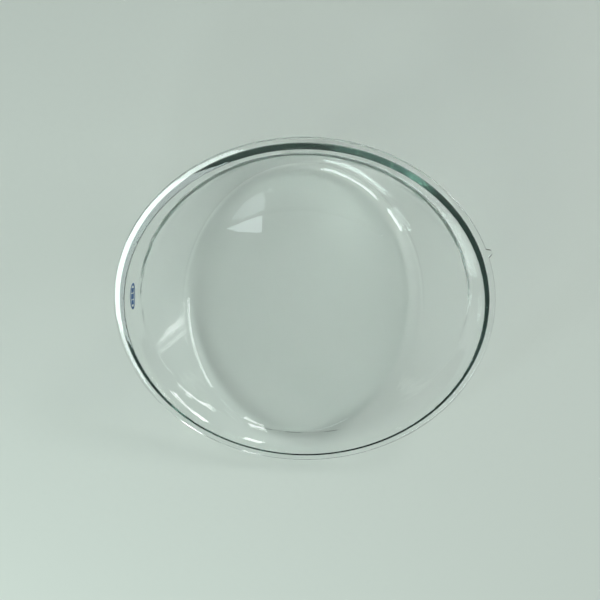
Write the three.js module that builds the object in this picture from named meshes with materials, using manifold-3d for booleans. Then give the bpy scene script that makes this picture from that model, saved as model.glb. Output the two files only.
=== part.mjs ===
// Door glass of a front-loading washing machine: one piece of pressed and tempered
// soda-lime glass. A flange and a short collar run round the mouth. The glass slopes in
// from the collar to a shoulder, a conical wall follows, and a slanted flat end closes
// the bowl.
//
// Millimetres, +Z up. The glass stands on its flat end. The origin is the centre of the
// flat end's outer face, and +Y points to the side where the mouth is highest.
//
// The shape is drawn as a section (r, d): r is the distance from the mouth's axis and d
// is the depth below the flange's front face. The section changes round the mouth only
// because the flat end cuts the bowl at a slant.
import * as THREE from 'three';
import Module from 'manifold-3d';

const wasm = await Module();
wasm.setup();

// Driving dimensions
const TILT = THREE.MathUtils.degToRad(30); // slant of the flat end against the mouth
const MOUTH_HEIGHT = 112.5; // centre of the mouth above the flat end's outer face
const GLASS = 5.5; // thickness of the wall and of the flat end

const FLANGE_RADIUS = 193.8;
const FLANGE_THICKNESS = 3.5;
const FLANGE_EDGE = 1.5; // rounding of the flange's outer edge
const FLANGE_FILLET = 0.8; // between the flange's back and the collar
const MOUTH_RADIUS = 183.3; // inside of the collar at the flange's front face
const MOUTH_EDGE = 0.5; // rounding of the mouth's inner edge

const COLLAR_DEPTH = 9;
const COLLAR_DRAFT = 1.7; // how far the collar narrows over its depth
const COLLAR_ROUNDING = 4.5; // set-back of the curve from the collar to the shoulder
const SHOULDER_RADIUS = 171.3;
const SHOULDER_DEPTH = 22;
const SHOULDER_ROUNDING = 3; // set-back of the curve from the shoulder to the wall
const WALL_ANGLE = THREE.MathUtils.degToRad(20.25); // the wall's slope to the mouth's axis

// The blend from the wall to the flat end, by its reach from the sharp corner of the two.
const WALL_SETBACK = 14; // up the wall, less where the wall is short
const FLAT_SETBACK = 20; // over the flat end
const FLAT_SETBACK_LOW = 12; // the same at the low side of the mouth
const BLEND_HANDLE = 0.7; // share of each reach that pulls the curve to the corner

const LUG_AZIMUTH = THREE.MathUtils.degToRad(28); // from the level diameter towards the high side
const LUG_REACH = 3.8; // beyond the flange's edge
const LUG_ROOT_WIDTH = 10;
const LUG_TIP_WIDTH = 4.4;
const LUG_THICKNESS = 2.9;
const LUG_ROOT_DEPTH = 4; // how far the lug runs into the flange
const LUG_ROUNDING = 1; // of the two tip corners

// Fineness of the mesh
const SEGMENTS = 72; // round the mouth
const CORNER_STEPS = 2;
const BEND_STEPS = 3;
const BLEND_STEPS = 8;

const SIN_TILT = Math.sin(TILT);
const COS_TILT = Math.cos(TILT);
const WALL_DIRECTION = new THREE.Vector2(-Math.sin(WALL_ANGLE), Math.cos(WALL_ANGLE));

function collarRadius(depth) {
  return MOUTH_RADIUS - COLLAR_DRAFT * depth / COLLAR_DEPTH;
}

// Distance along the conical wall, from the shoulder, to a face at height z.
function wallRun(azimuth, z) {
  const rise = SIN_TILT * Math.sin(azimuth);
  const shoulderHeight = MOUTH_HEIGHT + SHOULDER_RADIUS * rise - SHOULDER_DEPTH * COS_TILT;
  return (shoulderHeight - z) / (WALL_DIRECTION.y * COS_TILT - WALL_DIRECTION.x * rise);
}

// Section point where the conical wall would meet a face at height z with a sharp corner.
function endCorner(azimuth, z) {
  const shoulder = new THREE.Vector2(SHOULDER_RADIUS, SHOULDER_DEPTH);
  return shoulder.addScaledVector(WALL_DIRECTION, wallRun(azimuth, z));
}

// The y coordinate of a section point that is not yet shifted to the origin.
function unshiftedY(point, azimuth) {
  return point.x * Math.sin(azimuth) * COS_TILT + point.y * SIN_TILT;
}

// The mouth's centre lies off the origin, so that the flat end is centred on it.
const LOW_SIDE = -Math.PI / 2;
const HIGH_SIDE = Math.PI / 2;
const MOUTH_Y = -(unshiftedY(endCorner(LOW_SIDE, 0), LOW_SIDE)
  + unshiftedY(endCorner(HIGH_SIDE, 0), HIGH_SIDE)) / 2;

// From a section point to space.
function place(point, azimuth) {
  return new THREE.Vector3(
    point.x * Math.cos(azimuth),
    MOUTH_Y + unshiftedY(point, azimuth),
    MOUTH_HEIGHT + point.x * Math.sin(azimuth) * SIN_TILT - point.y * COS_TILT,
  );
}

// A rounded corner as a curve from one set-back point to the other.
function roundedCorner(before, corner, after, setback) {
  const start = before.clone().sub(corner).setLength(setback).add(corner);
  const end = after.clone().sub(corner).setLength(setback).add(corner);
  return new THREE.QuadraticBezierCurve(start, corner, end);
}

// Inside of the collar, shoulder and conical wall, from the mouth down.
function makeWallPath() {
  const mouth = new THREE.Vector2(collarRadius(MOUTH_EDGE), MOUTH_EDGE);
  const foot = new THREE.Vector2(collarRadius(COLLAR_DEPTH), COLLAR_DEPTH);
  const shoulder = new THREE.Vector2(SHOULDER_RADIUS, SHOULDER_DEPTH);
  const wallEnd = endCorner(HIGH_SIDE, 0);
  const footBend = roundedCorner(mouth, foot, shoulder, COLLAR_ROUNDING);
  const shoulderBend = roundedCorner(foot, shoulder, wallEnd, SHOULDER_ROUNDING);
  const path = new THREE.CurvePath();
  path.add(new THREE.LineCurve(mouth, footBend.v0));
  path.add(footBend);
  path.add(new THREE.LineCurve(footBend.v2, shoulderBend.v0));
  path.add(shoulderBend);
  path.add(new THREE.LineCurve(shoulderBend.v2, wallEnd));
  return path;
}

const wallPath = makeWallPath();
const pathEnds = wallPath.getCurveLengths();
const BEND_STATIONS = [
  0,
  ...stations(pathEnds[0], pathEnds[1]),
  ...stations(pathEnds[2], pathEnds[3]),
];

function stations(from, to) {
  return Array.from({ length: BEND_STEPS + 1 }, (_, i) => THREE.MathUtils.lerp(from, to, i / BEND_STEPS));
}

function wallPoint(distance) {
  const share = distance / wallPath.getLength();
  return { point: wallPath.getPoint(share), along: wallPath.getTangent(share) };
}

// How far the blend reaches up the wall and over the flat end at one azimuth.
function blendReach(azimuth) {
  const room = wallRun(azimuth, GLASS) - SHOULDER_ROUNDING;
  const lowness = Math.max(0, -Math.sin(azimuth)) ** 2;
  return {
    upWall: WALL_SETBACK * (1 - Math.exp(-room / WALL_SETBACK)),
    overFlat: THREE.MathUtils.lerp(FLAT_SETBACK, FLAT_SETBACK_LOW, lowness),
  };
}

// Inner skin at one azimuth: points down the wall, then round the blend to the flat end.
function innerSection(azimuth) {
  const corner = endCorner(azimuth, GLASS);
  const { upWall, overFlat } = blendReach(azimuth);
  const inward = new THREE.Vector2(-COS_TILT, -SIN_TILT * Math.sin(azimuth)).normalize();
  const blend = new THREE.CubicBezierCurve(
    corner.clone().addScaledVector(WALL_DIRECTION, -upWall),
    corner.clone().addScaledVector(WALL_DIRECTION, (BLEND_HANDLE - 1) * upWall),
    corner.clone().addScaledVector(inward, (1 - BLEND_HANDLE) * overFlat),
    corner.clone().addScaledVector(inward, overFlat),
  );
  const section = BEND_STATIONS.map((station) => wallPoint(station));
  for (let i = 0; i <= BLEND_STEPS; i += 1) {
    const t = i / BLEND_STEPS;
    section.push({ point: blend.getPoint(t), along: blend.getTangent(t) });
  }
  return section;
}

// Inner and outer skin in space at one azimuth: the outer is the inner, moved out by the
// glass thickness square to the surface.
function skins(azimuth) {
  const nudge = 1e-3;
  const section = innerSection(azimuth);
  const before = innerSection(azimuth - nudge);
  const after = innerSection(azimuth + nudge);
  const inner = section.map(({ point }) => place(point, azimuth));
  const outer = section.map(({ point, along }, row) => {
    const here = inner[row];
    const round = place(after[row].point, azimuth + nudge).sub(place(before[row].point, azimuth - nudge));
    const down = place(point.clone().add(along), azimuth).sub(here);
    return here.clone().addScaledVector(down.cross(round).normalize(), GLASS);
  });
  return { inner, outer };
}

// Flange section, from the collar's outside over the back, edge and front to the mouth.
function makeFlangeSection() {
  const outside = (depth) => collarRadius(depth) + GLASS;
  const at = (r, d) => new THREE.Vector2(r, d);
  const back = FLANGE_THICKNESS;
  const collar = at(outside(back + FLANGE_FILLET), back + FLANGE_FILLET);
  const corners = [
    roundedCorner(collar, at(outside(back), back), at(FLANGE_RADIUS, back), FLANGE_FILLET),
    roundedCorner(at(MOUTH_RADIUS, back), at(FLANGE_RADIUS, back), at(FLANGE_RADIUS, 0), FLANGE_EDGE),
    roundedCorner(at(FLANGE_RADIUS, back), at(FLANGE_RADIUS, 0), at(MOUTH_RADIUS, 0), FLANGE_EDGE),
    roundedCorner(at(FLANGE_RADIUS, 0), at(MOUTH_RADIUS, 0), at(collarRadius(back), back), MOUTH_EDGE),
  ];
  const points = corners.flatMap((corner) => corner.getPoints(CORNER_STEPS));
  points.pop(); // the inner skin starts here
  return points;
}

// One ring of points per row, from the flat end's inner centre over the mouth to its
// outer centre. The first and last row are single points.
function makeRings() {
  const flange = makeFlangeSection();
  const columns = [];
  for (let i = 0; i < SEGMENTS; i += 1) {
    const azimuth = LOW_SIDE + i * 2 * Math.PI / SEGMENTS;
    const { inner, outer } = skins(azimuth);
    const mouthToCollar = flange.map((point) => place(point, azimuth)).reverse();
    columns.push([...inner.reverse(), ...mouthToCollar, ...outer.slice(1)]);
  }
  const poleDepth = (height) => new THREE.Vector2(0, (MOUTH_HEIGHT - height) / COS_TILT);
  return { columns, innerPole: place(poleDepth(GLASS), 0), outerPole: place(poleDepth(0), 0) };
}

function makeBowlGeometry() {
  const { columns, innerPole, outerPole } = makeRings();
  outerPole.setX(innerPole.x).setY(innerPole.y);
  const rows = columns[0].length;
  const vertices = [...columns.flat(), innerPole, outerPole];
  const innerIndex = columns.length * rows;
  const outerIndex = innerIndex + 1;
  const triangles = [];
  columns.forEach((_, i) => {
    const here = i * rows;
    const next = ((i + 1) % columns.length) * rows;
    triangles.push(innerIndex, here, next);
    for (let row = 0; row < rows - 1; row += 1) {
      triangles.push(here + row, here + row + 1, next + row);
      triangles.push(next + row, here + row + 1, next + row + 1);
    }
    triangles.push(here + rows - 1, outerIndex, next + rows - 1);
  });
  return { vertices, triangles };
}

function toSolid({ vertices, triangles }) {
  return new wasm.Manifold(new wasm.Mesh({
    numProp: 3,
    vertProperties: new Float32Array(vertices.flatMap((v) => v.toArray())),
    triVerts: new Uint32Array(triangles),
  }));
}

// Locating lug: a short tapered block that stands out of the flange's edge. The outline
// is drawn in its own plane, x along the edge and y outwards.
function makeLug() {
  const rootY = FLANGE_RADIUS - LUG_ROOT_DEPTH;
  const tipY = FLANGE_RADIUS + LUG_REACH;
  const outline = new THREE.Shape();
  outline.moveTo(-LUG_ROOT_WIDTH / 2, rootY);
  outline.lineTo(LUG_ROOT_WIDTH / 2, rootY);
  outline.lineTo(LUG_TIP_WIDTH / 2, tipY - LUG_ROUNDING);
  outline.quadraticCurveTo(LUG_TIP_WIDTH / 2, tipY, LUG_TIP_WIDTH / 2 - LUG_ROUNDING, tipY);
  outline.lineTo(LUG_ROUNDING - LUG_TIP_WIDTH / 2, tipY);
  outline.quadraticCurveTo(-LUG_TIP_WIDTH / 2, tipY, -LUG_TIP_WIDTH / 2, tipY - LUG_ROUNDING);
  const flat = outline.getPoints(4);
  const faces = THREE.ShapeUtils.triangulateShape(flat, []);
  const spin = LUG_AZIMUTH - Math.PI / 2;
  const top = (FLANGE_THICKNESS - LUG_THICKNESS) / 2;
  const layer = (depth) => flat.map((p) => {
    const r = Math.hypot(p.x, p.y);
    return place(new THREE.Vector2(r, depth), spin + Math.atan2(p.y, p.x));
  });
  const count = flat.length;
  const vertices = [...layer(top), ...layer(top + LUG_THICKNESS)];
  const triangles = faces.flatMap(([a, b, c]) => [a, b, c, c + count, b + count, a + count]);
  flat.forEach((_, i) => {
    const next = (i + 1) % count;
    triangles.push(i, i + count, next, next, i + count, next + count);
  });
  return { vertices, triangles };
}

function toGeometry(solid) {
  const mesh = solid.getMesh();
  const geometry = new THREE.BufferGeometry();
  geometry.setAttribute('position', new THREE.BufferAttribute(new Float32Array(mesh.vertProperties), 3));
  geometry.setIndex(new THREE.BufferAttribute(new Uint32Array(mesh.triVerts), 1));
  geometry.computeVertexNormals();
  return geometry;
}

const clearGlass = new THREE.MeshStandardMaterial({
  color: 0xcfe3d8,
  roughness: 0.05,
  metalness: 0,
  transparent: true,
  opacity: 0.35,
});

const glass = toSolid(makeBowlGeometry()).add(toSolid(makeLug()));
const doorGlass = new THREE.Mesh(toGeometry(glass), clearGlass);
doorGlass.name = 'door_glass';

const group = new THREE.Group();
group.add(doorGlass);

export default group;
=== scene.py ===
"""The looks of a washing machine door glass: clear pressed glass with a blue fired-on stamp.

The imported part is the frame. Its faceted glass is replaced by a smooth one of the same
dimensions, drawn from the same section. Section lengths are in millimetres, as on a
drawing; everything that reaches Blender is in metres.
"""
import math

import bpy
import numpy as np
from mathutils import Matrix, Vector


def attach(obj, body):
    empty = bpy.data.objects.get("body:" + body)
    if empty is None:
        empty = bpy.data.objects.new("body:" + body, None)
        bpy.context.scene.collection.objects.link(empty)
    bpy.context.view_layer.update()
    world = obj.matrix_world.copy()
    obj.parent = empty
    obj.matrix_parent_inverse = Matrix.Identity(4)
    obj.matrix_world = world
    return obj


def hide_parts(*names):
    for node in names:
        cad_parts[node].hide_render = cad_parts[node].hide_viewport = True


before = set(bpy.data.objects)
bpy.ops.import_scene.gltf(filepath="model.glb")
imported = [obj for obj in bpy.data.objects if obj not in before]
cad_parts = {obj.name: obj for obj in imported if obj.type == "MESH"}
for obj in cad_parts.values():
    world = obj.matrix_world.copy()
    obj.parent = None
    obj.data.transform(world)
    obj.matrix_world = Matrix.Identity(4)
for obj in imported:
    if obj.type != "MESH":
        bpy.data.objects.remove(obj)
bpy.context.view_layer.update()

MM = 0.001
PI = math.pi

# ---------------------------------------------------------------- the glass's dimensions
TILT = math.radians(30)
MOUTH_HEIGHT = 112.5
GLASS = 5.5
FLANGE_RADIUS = 193.8
FLANGE_THICKNESS = 3.5
FLANGE_EDGE = 1.65  # a little rounder than the CAD edge, to stay inside its faceted outline
FLANGE_FILLET = 0.8
MOUTH_RADIUS = 183.3
MOUTH_EDGE = 0.5
COLLAR_DEPTH = 9.0
COLLAR_DRAFT = 1.7
COLLAR_ROUNDING = 4.5
SHOULDER_RADIUS = 171.3
SHOULDER_DEPTH = 22.0
SHOULDER_ROUNDING = 3.0
WALL_ANGLE = math.radians(20.25)
WALL_SETBACK = 14.0
FLAT_SETBACK = 20.0
FLAT_SETBACK_LOW = 12.0
BLEND_HANDLE = 0.7
LUG_AZIMUTH = math.radians(28)
LUG_REACH = 3.8
LUG_ROOT_WIDTH = 10.0
LUG_TIP_WIDTH = 4.4
LUG_THICKNESS = 2.9
LUG_FILLET = 0.8
LUG_ROUNDING = 1.0
LUG_EASE = 0.5  # how far the lug's flanks run out beyond its root and in from its tip
RIPPLE_HEIGHT = 0.035  # of the longest ripple that pressing leaves
RIPPLE_COUNTS = (17, 29, 43)  # waves round the mouth, longest first
RIPPLE_TWIST = 0.05  # radians of a ripple's turn for each millimetre down the wall
RIPPLE_REACH = 22.0
RIPPLE_START = 12.0
INSIDE_PHASE, OUTSIDE_PHASE = 0.4, 1.7
STAMP_AZIMUTH = math.radians(174.1)
STAMP_DEPTH = 13.1
STAMP_LENGTH = 31.0
STAMP_WIDTH = 6.4
STAMP_LINE = 0.9
STAMP_END = 3.2
STAMP_BLOCKS = ((-7.0, 5.4, 2.8), (-0.2, 6.6, 3.4), (6.8, 5.6, 3.0))  # place, length, width
STAMP_LIFT = 0.02  # off the plain section, so that the enamel's face clears the ripple
ENAMEL = 0.05

SIN_TILT, COS_TILT = math.sin(TILT), math.cos(TILT)
WALL_DIRECTION = np.array([-math.sin(WALL_ANGLE), math.cos(WALL_ANGLE)])
SHOULDER = np.array([SHOULDER_RADIUS, SHOULDER_DEPTH])
LOW_SIDE, HIGH_SIDE = -PI / 2, PI / 2

# Fineness of the smooth glass
SEGMENTS = 480
COLLAR_ROWS = 6
BEND_ROWS = 10
SLOPE_ROWS = 3
WALL_ROWS = 24
BLEND_ROWS = 25
FLAT_ROWS = 12
CORNER_POINTS = 9
LUG_COLUMNS = 57
LUG_MARGIN = 1.05  # keeps the even columns off the finer ones across the lug
OVAL_POINTS = 120
BLOCK_COLUMNS, BLOCK_ROWS = 8, 4


# ---------------------------------------------------------------- section of the glass
def collar_radius(depth):
    return MOUTH_RADIUS - COLLAR_DRAFT * depth / COLLAR_DEPTH


def wall_run(azimuth, height):
    """How far the conical wall runs from the shoulder down to a face at a height."""
    rise = SIN_TILT * np.sin(azimuth)
    shoulder_height = MOUTH_HEIGHT + SHOULDER_RADIUS * rise - SHOULDER_DEPTH * COS_TILT
    return (shoulder_height - height) / (WALL_DIRECTION[1] * COS_TILT - WALL_DIRECTION[0] * rise)


def end_corner(azimuth, height):
    """Section points where the wall would meet that face with a sharp corner."""
    return SHOULDER + wall_run(azimuth, height)[..., None] * WALL_DIRECTION


def unshifted_y(point, azimuth):
    return point[..., 0] * np.sin(azimuth) * COS_TILT + point[..., 1] * SIN_TILT


def mouth_y():
    """The mouth's centre lies off the origin, so that the flat end is centred on it."""
    ends = [unshifted_y(end_corner(np.float64(side), 0), side) for side in (LOW_SIDE, HIGH_SIDE)]
    return -sum(ends) / 2


MOUTH_Y = mouth_y()


def place(point, azimuth):
    """From section points (r, d) to space, in millimetres."""
    radius, depth = point[..., 0], point[..., 1]
    return np.stack([
        radius * np.cos(azimuth),
        MOUTH_Y + unshifted_y(point, azimuth),
        MOUTH_HEIGHT + radius * np.sin(azimuth) * SIN_TILT - depth * COS_TILT,
    ], axis=-1)


def straight(start, end, count):
    t = np.linspace(0, 1, count)[:, None]
    return start + (end - start) * t


def rounded_corner(before, corner, after, setback, count):
    """Points of a rounded corner, from one set-back point to the other."""
    before, corner, after = (np.asarray(p, float) for p in (before, corner, after))
    start = corner + (before - corner) * setback / np.linalg.norm(before - corner)
    end = corner + (after - corner) * setback / np.linalg.norm(after - corner)
    t = np.linspace(0, 1, count)[:, None]
    return start * (1 - t) ** 2 + corner * 2 * t * (1 - t) + end * t ** 2


class WallPath:
    """Inside of the collar, shoulder and wall as a finely sampled line with its lengths."""

    def __init__(self):
        mouth = np.array([collar_radius(MOUTH_EDGE), MOUTH_EDGE])
        foot = np.array([collar_radius(COLLAR_DEPTH), COLLAR_DEPTH])
        end = end_corner(np.float64(HIGH_SIDE), 0)
        fine = 200
        foot_bend = rounded_corner(mouth, foot, SHOULDER, COLLAR_ROUNDING, fine)
        shoulder_bend = rounded_corner(foot, SHOULDER, end, SHOULDER_ROUNDING, fine)
        pieces = [
            straight(mouth, foot_bend[0], fine),
            foot_bend,
            straight(foot_bend[-1], shoulder_bend[0], fine),
            shoulder_bend,
            straight(shoulder_bend[-1], end, fine),
        ]
        self.points = np.concatenate([pieces[0]] + [piece[1:] for piece in pieces[1:]])
        steps = np.linalg.norm(np.diff(self.points, axis=0), axis=1)
        self.lengths = np.concatenate([[0], np.cumsum(steps)])
        self.ends = [self.lengths[(fine - 1) * (i + 1)] for i in range(len(pieces))]

    def at(self, distance):
        """Section points and unit tangents at distances along the path."""
        tangents = np.gradient(self.points, self.lengths, axis=0)
        point = [np.interp(distance, self.lengths, self.points[:, k]) for k in (0, 1)]
        along = [np.interp(distance, self.lengths, tangents[:, k]) for k in (0, 1)]
        along = np.stack(along, axis=-1)
        return np.stack(point, axis=-1), along / np.linalg.norm(along, axis=-1, keepdims=True)


PATH = WallPath()
BEND_END = PATH.ends[3]


def stations():
    """Distances of the rows from the mouth's edge to the end of the shoulder's bend."""
    collar_end, foot_end, slope_end = PATH.ends[:3]
    return np.concatenate([
        np.linspace(0, collar_end, COLLAR_ROWS, endpoint=False),
        np.linspace(collar_end, foot_end, BEND_ROWS, endpoint=False),
        np.linspace(foot_end, slope_end, SLOPE_ROWS, endpoint=False),
        np.linspace(slope_end, BEND_END, BEND_ROWS, endpoint=False),
    ])


def setbacks(azimuth):
    """How far the blend starts up the wall and ends over the flat, from the sharp corner.
    On the low side, where little of the wall is left, both get shorter."""
    room = wall_run(azimuth, GLASS) - SHOULDER_ROUNDING
    lowness = np.clip(-np.sin(azimuth), 0, 1) ** 2
    return (WALL_SETBACK * (1 - np.exp(-room / WALL_SETBACK)),
            FLAT_SETBACK + (FLAT_SETBACK_LOW - FLAT_SETBACK) * lowness)


def inner_section(azimuth):
    """Inner skin as rows of section points for each azimuth: down the wall, round the
    blend and over the flat end. Also how far down the wall each row is."""
    corner = end_corner(azimuth, GLASS)
    up_wall, over_flat = setbacks(azimuth)
    blend_start = BEND_END + wall_run(azimuth, GLASS) - SHOULDER_ROUNDING - up_wall
    bends = np.broadcast_to(stations(), (len(azimuth), len(stations())))
    share = np.linspace(0, 1, WALL_ROWS, endpoint=False)
    wall = BEND_END + (blend_start - BEND_END)[:, None] * share
    down = np.concatenate([bends, wall], axis=1)
    rows, _ = PATH.at(down)

    inward = np.stack([np.full_like(azimuth, -COS_TILT), -SIN_TILT * np.sin(azimuth)], axis=-1)
    inward /= np.linalg.norm(inward, axis=-1, keepdims=True)
    start = corner - WALL_DIRECTION * up_wall[:, None]
    end = corner + inward * over_flat[:, None]
    control = (
        start,
        start + WALL_DIRECTION * (BLEND_HANDLE * up_wall)[:, None],
        end - inward * (BLEND_HANDLE * over_flat)[:, None],
        end,
    )
    t = np.linspace(0, 1, BLEND_ROWS)[None, :, None]
    weights = ((1 - t) ** 3, 3 * t * (1 - t) ** 2, 3 * t ** 2 * (1 - t), t ** 3)
    blend = sum(weight * point[:, None, :] for weight, point in zip(weights, control))

    pole = np.array([0, (MOUTH_HEIGHT - GLASS) / COS_TILT])
    t = np.linspace(0, 1, FLAT_ROWS, endpoint=False)[None, 1:, None]
    flat = end[:, None, :] * (1 - t) + pole * t
    return np.concatenate([rows, blend, flat], axis=1), down


def flange_section():
    """Flange from the collar's outside over the back, edge and front to the mouth."""
    back = FLANGE_THICKNESS
    collar = (collar_radius(back + FLANGE_FILLET) + GLASS, back + FLANGE_FILLET)
    return np.concatenate([
        rounded_corner(collar, (collar_radius(back) + GLASS, back), (FLANGE_RADIUS, back),
                       FLANGE_FILLET, CORNER_POINTS),
        rounded_corner((MOUTH_RADIUS, back), (FLANGE_RADIUS, back), (FLANGE_RADIUS, 0),
                       FLANGE_EDGE, CORNER_POINTS),
        rounded_corner((FLANGE_RADIUS, back), (FLANGE_RADIUS, 0), (MOUTH_RADIUS, 0),
                       FLANGE_EDGE, CORNER_POINTS),
        rounded_corner((FLANGE_RADIUS, 0), (MOUTH_RADIUS, 0), (collar_radius(back), back),
                       MOUTH_EDGE, CORNER_POINTS)[:-1],
    ])


def lug_section():
    """The flange section where the lug stands out of its edge, with as many points."""
    rim = FLANGE_RADIUS - FLANGE_EDGE
    top = (FLANGE_THICKNESS - LUG_THICKNESS) / 2
    middle = FLANGE_THICKNESS / 2
    tip = FLANGE_RADIUS + LUG_REACH
    root = (FLANGE_RADIUS + LUG_EASE, top)
    fillet_points = 3
    front = np.concatenate([
        [(rim, 0)],
        rounded_corner((rim, 0), root, (tip, top), LUG_FILLET, fillet_points),
        rounded_corner(root, (tip, top), (tip, middle), LUG_ROUNDING,
                       CORNER_POINTS - fillet_points - 1),
    ])
    back = front * (1, -1) + (0, FLANGE_THICKNESS)
    section = flange_section()
    section[CORNER_POINTS:2 * CORNER_POINTS] = back
    section[2 * CORNER_POINTS:3 * CORNER_POINTS] = front[::-1]
    return section


def lug_share(azimuth):
    """How much of the lug stands at each azimuth: all at its middle, none beside it."""
    aside = np.abs(azimuth - LUG_AZIMUTH) * FLANGE_RADIUS
    foot = LUG_ROOT_WIDTH / 2 + LUG_EASE
    crest = LUG_TIP_WIDTH / 2 - LUG_EASE
    share = np.clip((foot - aside) / (foot - crest), 0, 1)
    return share ** 2 * (3 - 2 * share)


def columns_round_mouth():
    """Azimuths of the columns: evenly spaced, and finer across the lug."""
    even = LOW_SIDE + np.arange(SEGMENTS) * 2 * PI / SEGMENTS
    half = LUG_ROOT_WIDTH / FLANGE_RADIUS
    across = LUG_AZIMUTH + np.linspace(-half, half, LUG_COLUMNS)
    clear = np.abs(even - LUG_AZIMUTH) > half * LUG_MARGIN
    return np.sort(np.concatenate([even[clear], across]))


def square_out(skin):
    """Unit directions square to a skin of azimuth columns and rows, out of the bowl."""
    around = np.roll(skin, -1, axis=0) - np.roll(skin, 1, axis=0)
    down = np.gradient(skin, axis=1)
    normal = np.cross(down, around)
    return normal / np.linalg.norm(normal, axis=-1, keepdims=True)


def ripple(azimuth, down, phase):
    """The faint ripple that pressing leaves near the shoulder, fading down the wall."""
    around = sum(
        np.sin(k * azimuth[:, None] + phase * k + RIPPLE_TWIST * k * down) / k
        for k in RIPPLE_COUNTS)
    near = np.exp(-((down - BEND_END) / RIPPLE_REACH) ** 2) * np.clip(down / RIPPLE_START, 0, 1)
    return RIPPLE_HEIGHT * RIPPLE_COUNTS[0] * around * near


# ---------------------------------------------------------------- the glass as a mesh
def mesh_object(name, vertices, faces, material):
    mesh = bpy.data.meshes.new(name)
    mesh.from_pydata([tuple(v) for v in vertices], [], faces)
    mesh.validate()
    mesh.shade_smooth()
    mesh.materials.append(material)
    piece = bpy.data.objects.new(name, mesh)
    bpy.context.scene.collection.objects.link(piece)
    return piece


def make_glass(material):
    azimuth = columns_round_mouth()
    section, down = inner_section(azimuth)
    inner = place(section, azimuth[:, None])
    normal = square_out(inner)
    flat_from = section.shape[1] - FLAT_ROWS
    normal[:, flat_from:] = (0, 0, -1)
    outer = inner + normal * GLASS
    walls = down.shape[1]
    inner[:, :walls] += normal[:, :walls] * ripple(azimuth, down, INSIDE_PHASE)[..., None]
    outer[:, :walls] += normal[:, :walls] * ripple(azimuth, down, OUTSIDE_PHASE)[..., None]
    outer[:, flat_from:, 2] = 0

    plain, lug = flange_section(), lug_section()
    flange = plain + (lug - plain) * lug_share(azimuth)[:, None, None]
    flange = place(flange[:, ::-1], azimuth[:, None])
    depths = PATH.at(stations())[0][:, 1]
    below_flange = int(np.searchsorted(depths, FLANGE_THICKNESS + FLANGE_FILLET))
    columns = np.concatenate([inner[:, ::-1], flange, outer[:, below_flange:]], axis=1)
    count, rows = columns.shape[:2]
    pole = place(np.array([0, (MOUTH_HEIGHT - GLASS) / COS_TILT]), 0.0)
    vertices = np.concatenate([columns.reshape(-1, 3), [pole, (pole[0], pole[1], 0)]]) * MM
    inner_pole = count * rows

    faces = []
    for i in range(count):
        here, following = i * rows, (i + 1) % count * rows
        faces.append((inner_pole, here, following))
        faces += [(here + k, here + k + 1, following + k + 1, following + k) for k in range(rows - 1)]
        faces.append((here + rows - 1, inner_pole + 1, following + rows - 1))
    return mesh_object("smooth_glass", vertices, faces, material)


# ---------------------------------------------------------------- the fired-on stamp
def on_slope(along, across, lift):
    """Space points on the slope between collar and shoulder: along it and across it in
    millimetres from the stamp's middle, lifted off the glass."""
    azimuth = STAMP_AZIMUTH - along / SHOULDER_RADIUS
    middle = np.interp(STAMP_DEPTH, PATH.points[:, 1], PATH.lengths)
    point, tangent = PATH.at(middle + across)
    normal = np.stack([-tangent[..., 1], tangent[..., 0]], axis=-1)
    return place(point + normal * lift, azimuth)


def enamel_shell(grid, closed):
    """A thin closed shell over a grid of (along, across); closed joins its last column
    to its first."""
    rows, count = grid.shape[:2]
    layers = [on_slope(grid[..., 0], grid[..., 1], lift) for lift in (STAMP_LIFT, STAMP_LIFT + ENAMEL)]
    vertices = np.concatenate([layer.reshape(-1, 3) for layer in layers]) * MM
    top = rows * count
    faces = []
    steps = count if closed else count - 1
    for k in range(steps):
        following = (k + 1) % count
        for r in range(rows - 1):
            quad = (r * count + k, r * count + following,
                    (r + 1) * count + following, (r + 1) * count + k)
            faces.append(quad[::-1])
            faces.append(tuple(top + v for v in quad))
        faces.append((k, following, top + following, top + k))
        last = (rows - 1) * count
        faces.append((last + following, last + k, top + last + k, top + last + following))
    if not closed:
        for r in range(rows - 1):
            low, high = r * count, (r + 1) * count
            faces.append((high, low, top + low, top + high))
            low, high = low + count - 1, high + count - 1
            faces.append((low, high, top + high, top + low))
    return vertices, faces


def stamp_parts():
    """Grids of the stamp: an oval line, heavier at its ends, with plain blocks inside it."""
    turn = np.linspace(0, 2 * PI, OVAL_POINTS, endpoint=False)
    half = np.array([STAMP_LENGTH / 2, STAMP_WIDTH / 2])
    line = np.array([STAMP_END, STAMP_LINE])
    oval = np.stack([np.cos(turn), np.sin(turn)], axis=-1)
    parts = [(np.stack([oval * half, oval * (half - line)]), True)]
    for along, length, width in STAMP_BLOCKS:
        u = along + np.linspace(-length / 2, length / 2, BLOCK_COLUMNS)
        v = np.linspace(width / 2, -width / 2, BLOCK_ROWS)
        parts.append((np.stack(np.meshgrid(u, v), axis=-1), False))
    return parts


def make_stamp(material):
    vertices, faces = [], []
    for grid, closed in stamp_parts():
        shell, sides = enamel_shell(grid, closed)
        first = sum(len(v) for v in vertices)
        vertices.append(shell)
        faces += [tuple(first + k for k in face) for face in sides]
    return mesh_object("fired_on_stamp", np.concatenate(vertices), faces, material)


# ---------------------------------------------------------------- materials
def new_material(name):
    material = bpy.data.materials.new(name)
    material.use_nodes = True
    tree = material.node_tree
    return material, tree, tree.nodes["Principled BSDF"], tree.nodes["Material Output"]


def add_node(tree, kind, **values):
    node = tree.nodes.new(kind)
    for socket, value in values.items():
        node.inputs[socket.replace("_", " ")].default_value = value
    return node


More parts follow.
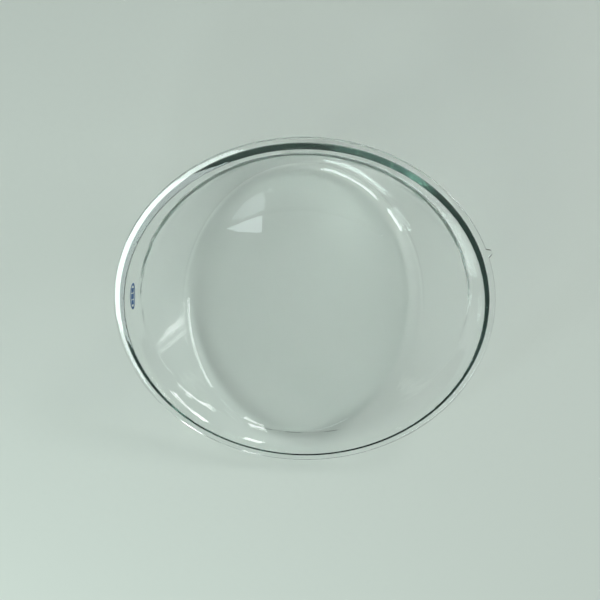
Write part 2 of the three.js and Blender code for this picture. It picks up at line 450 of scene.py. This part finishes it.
def glass_material():
    """Clear glass, greenish through its depth, with the faint unevenness of pressing."""
    material, tree, shader, output = new_material("clear_soda_lime_glass")
    shader.inputs["Base Color"].default_value = (1, 1, 1, 1)
    shader.inputs["Transmission Weight"].default_value = 1.0
    shader.inputs["IOR"].default_value = 1.52
    tint = add_node(tree, "ShaderNodeVolumeAbsorption", Color=(0.4, 0.55, 0.5, 1), Density=8.0)
    tree.links.new(tint.outputs["Volume"], output.inputs["Volume"])

    where = tree.nodes.new("ShaderNodeTexCoord")
    flow = add_node(tree, "ShaderNodeTexNoise", Scale=45.0, Detail=2.0, Roughness=0.4)
    bump = add_node(tree, "ShaderNodeBump", Strength=0.25, Distance=0.0001)
    film = add_node(tree, "ShaderNodeTexNoise", Scale=14.0, Detail=4.0, Roughness=0.6)
    haze = add_node(tree, "ShaderNodeMapRange", From_Min=0.45, From_Max=0.75, To_Min=0.0, To_Max=0.035)
    for noise in (flow, film):
        tree.links.new(where.outputs["Object"], noise.inputs["Vector"])
    tree.links.new(flow.outputs["Fac"], bump.inputs["Height"])
    tree.links.new(bump.outputs["Normal"], shader.inputs["Normal"])
    tree.links.new(film.outputs["Fac"], haze.inputs["Value"])
    tree.links.new(haze.outputs["Result"], shader.inputs["Roughness"])
    return material


def enamel_material():
    """Dark blue enamel, a little uneven in colour and gloss where the print is thin."""
    material, tree, shader, _ = new_material("blue_enamel")
    where = tree.nodes.new("ShaderNodeTexCoord")
    mottle = add_node(tree, "ShaderNodeTexNoise", Scale=900.0, Detail=5.0, Roughness=0.65)
    colours = tree.nodes.new("ShaderNodeValToRGB")
    colours.color_ramp.elements[0].position = 0.3
    colours.color_ramp.elements[0].color = (0.02, 0.06, 0.16, 1)
    colours.color_ramp.elements[1].position = 0.72
    colours.color_ramp.elements[1].color = (0.09, 0.19, 0.38, 1)
    gloss = add_node(tree, "ShaderNodeMapRange", To_Min=0.25, To_Max=0.55)
    bump = add_node(tree, "ShaderNodeBump", Strength=0.4, Distance=0.00003)
    tree.links.new(where.outputs["Object"], mottle.inputs["Vector"])
    tree.links.new(mottle.outputs["Fac"], colours.inputs["Fac"])
    tree.links.new(mottle.outputs["Fac"], gloss.inputs["Value"])
    tree.links.new(mottle.outputs["Fac"], bump.inputs["Height"])
    tree.links.new(colours.outputs["Color"], shader.inputs["Base Color"])
    tree.links.new(gloss.outputs["Result"], shader.inputs["Roughness"])
    tree.links.new(bump.outputs["Normal"], shader.inputs["Normal"])
    return material


def floor_material():
    material, _, shader, _ = new_material("pale_floor")
    shader.inputs["Base Color"].default_value = (0.64, 0.68, 0.63, 1)
    shader.inputs["Roughness"].default_value = 0.9
    shader.inputs["Specular IOR Level"].default_value = 0.1
    return material


# ---------------------------------------------------------------- floor, light and camera
FLOOR_HALF = 12.0
FLOOR_DROP = 0.0004  # keeps the floor clear of the glass's face
SKYLIGHT_HEIGHT = 1.5
WINDOW_DISTANCE = 2.5
WINDOW_TARGET = (0, 0, 0.1)

# Skylights: name, x, y, size in x and y, radiance, colour
SKYLIGHTS = (
    ("skylight", -0.215, 0.285, (0.14, 0.15), 2.6, (0.9, 0.98, 1)),
    ("skylight_edge", -0.2, 0.41, (0.17, 0.1), 1.3, (0.9, 0.98, 1)),
)
# Windows: name, azimuth, elevation, width and height in degrees, radiance, colour
WINDOWS = (
    ("window_near", -116, 33, 30, 20, 9.2, (0.88, 1, 0.97)),
    ("window_right", 15, 22, 30, 7, 14, (0.98, 1, 0.99)),
    ("window_far", 58, 35, 10, 12, 11, (0.98, 1, 0.99)),
    ("window_left", -146, 21, 10, 20, 15, (0.88, 1, 0.97)),
)
SKY_STRENGTH = 0.82
SKY_LEVEL, SKY_HIGH = (0.06, 0.07, 0.07, 1), (0.40, 0.43, 0.43, 1)

CAMERA_AT = (-0.011, 0.0074, 0.710)
CAMERA_LOOKS_AT = (-0.004, -0.0070, 0)
CAMERA_TURN = math.radians(-2.6)
CAMERA_LENS = 34.9

LIGHT_BOUNCES = 48  # light runs a long way inside the wall before it leaves at the mouth


def make_floor():
    sides = ((-1, -1), (1, -1), (1, 1), (-1, 1))
    corners = [(x * FLOOR_HALF, y * FLOOR_HALF, -FLOOR_DROP) for x, y in sides]
    floor = mesh_object("floor", corners, [(0, 1, 2, 3)], floor_material())


def make_softbox(name, at, target, size, radiance, colour):
    """An even rectangular lamp of a stated brightness, whatever its size."""
    data = bpy.data.lights.new(name, "AREA")
    data.shape = "RECTANGLE"
    data.size, data.size_y = size
    data.energy = radiance * PI * size[0] * size[1]
    data.color = colour
    lamp = bpy.data.objects.new(name, data)
    lamp.location = at
    lamp.rotation_euler = (Vector(target) - Vector(at)).to_track_quat("-Z", "Y").to_euler()
    bpy.context.scene.collection.objects.link(lamp)


def make_window(name, azimuth, elevation, width, height, radiance, colour):
    """A softbox by the direction it is seen in from the glass and its width and height
    there, in degrees."""
    a, e = math.radians(azimuth), math.radians(elevation)
    direction = Vector((math.cos(e) * math.cos(a), math.cos(e) * math.sin(a), math.sin(e)))
    at = Vector(WINDOW_TARGET) + WINDOW_DISTANCE * direction
    size = [2 * WINDOW_DISTANCE * math.tan(math.radians(angle / 2)) for angle in (width, height)]
    make_softbox(name, at, WINDOW_TARGET, size, radiance, colour)


def make_world():
    """A plain sky, darker towards the horizon."""
    world = bpy.data.worlds.new("studio")
    world.use_nodes = True
    tree = world.node_tree
    background = tree.nodes["Background"]
    place_in_sky = tree.nodes.new("ShaderNodeTexCoord")
    split = tree.nodes.new("ShaderNodeSeparateXYZ")
    ramp = tree.nodes.new("ShaderNodeValToRGB")
    ramp.color_ramp.elements[0].position = 0.0
    ramp.color_ramp.elements[0].color = SKY_LEVEL
    ramp.color_ramp.elements[1].position = 0.9
    ramp.color_ramp.elements[1].color = SKY_HIGH
    tree.links.new(place_in_sky.outputs["Generated"], split.inputs["Vector"])
    tree.links.new(split.outputs["Z"], ramp.inputs["Fac"])
    tree.links.new(ramp.outputs["Color"], background.inputs["Color"])
    background.inputs["Strength"].default_value = SKY_STRENGTH
    bpy.context.scene.world = world


def make_camera():
    """Nearly straight above the glass."""
    data = bpy.data.cameras.new("camera")
    data.sensor_width = 36.0
    data.lens = CAMERA_LENS
    data.clip_start = 0.01
    camera = bpy.data.objects.new("camera", data)
    at = Vector(CAMERA_AT)
    forward = (Vector(CAMERA_LOOKS_AT) - at).normalized()
    up = Vector((math.sin(CAMERA_TURN), math.cos(CAMERA_TURN), 0))
    right = forward.cross(up).normalized()
    up = right.cross(forward)
    turned = Matrix((right, up, -forward)).transposed().to_4x4()
    camera.matrix_world = Matrix.Translation(at) @ turned
    bpy.context.scene.collection.objects.link(camera)
    bpy.context.scene.camera = camera


def set_up_scene():
    scene = bpy.context.scene
    scene.view_settings.view_transform = "Standard"
    scene.cycles.max_bounces = LIGHT_BOUNCES
    scene.cycles.transmission_bounces = LIGHT_BOUNCES
    scene.cycles.glossy_bounces = LIGHT_BOUNCES
    scene.cycles.blur_glossy = 0.0  # light crosses the glass unblurred on its way to the floor
    make_world()
    make_floor()
    for name, x, y, size, radiance, colour in SKYLIGHTS:
        make_softbox(name, (x, y, SKYLIGHT_HEIGHT), (x, y, 0), size, radiance, colour)
    for window in WINDOWS:
        make_window(*window)
    make_camera()


set_up_scene()
glass = make_glass(glass_material())
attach(glass, "root")
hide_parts("door_glass")
stamp = make_stamp(enamel_material())
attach(stamp, "root")
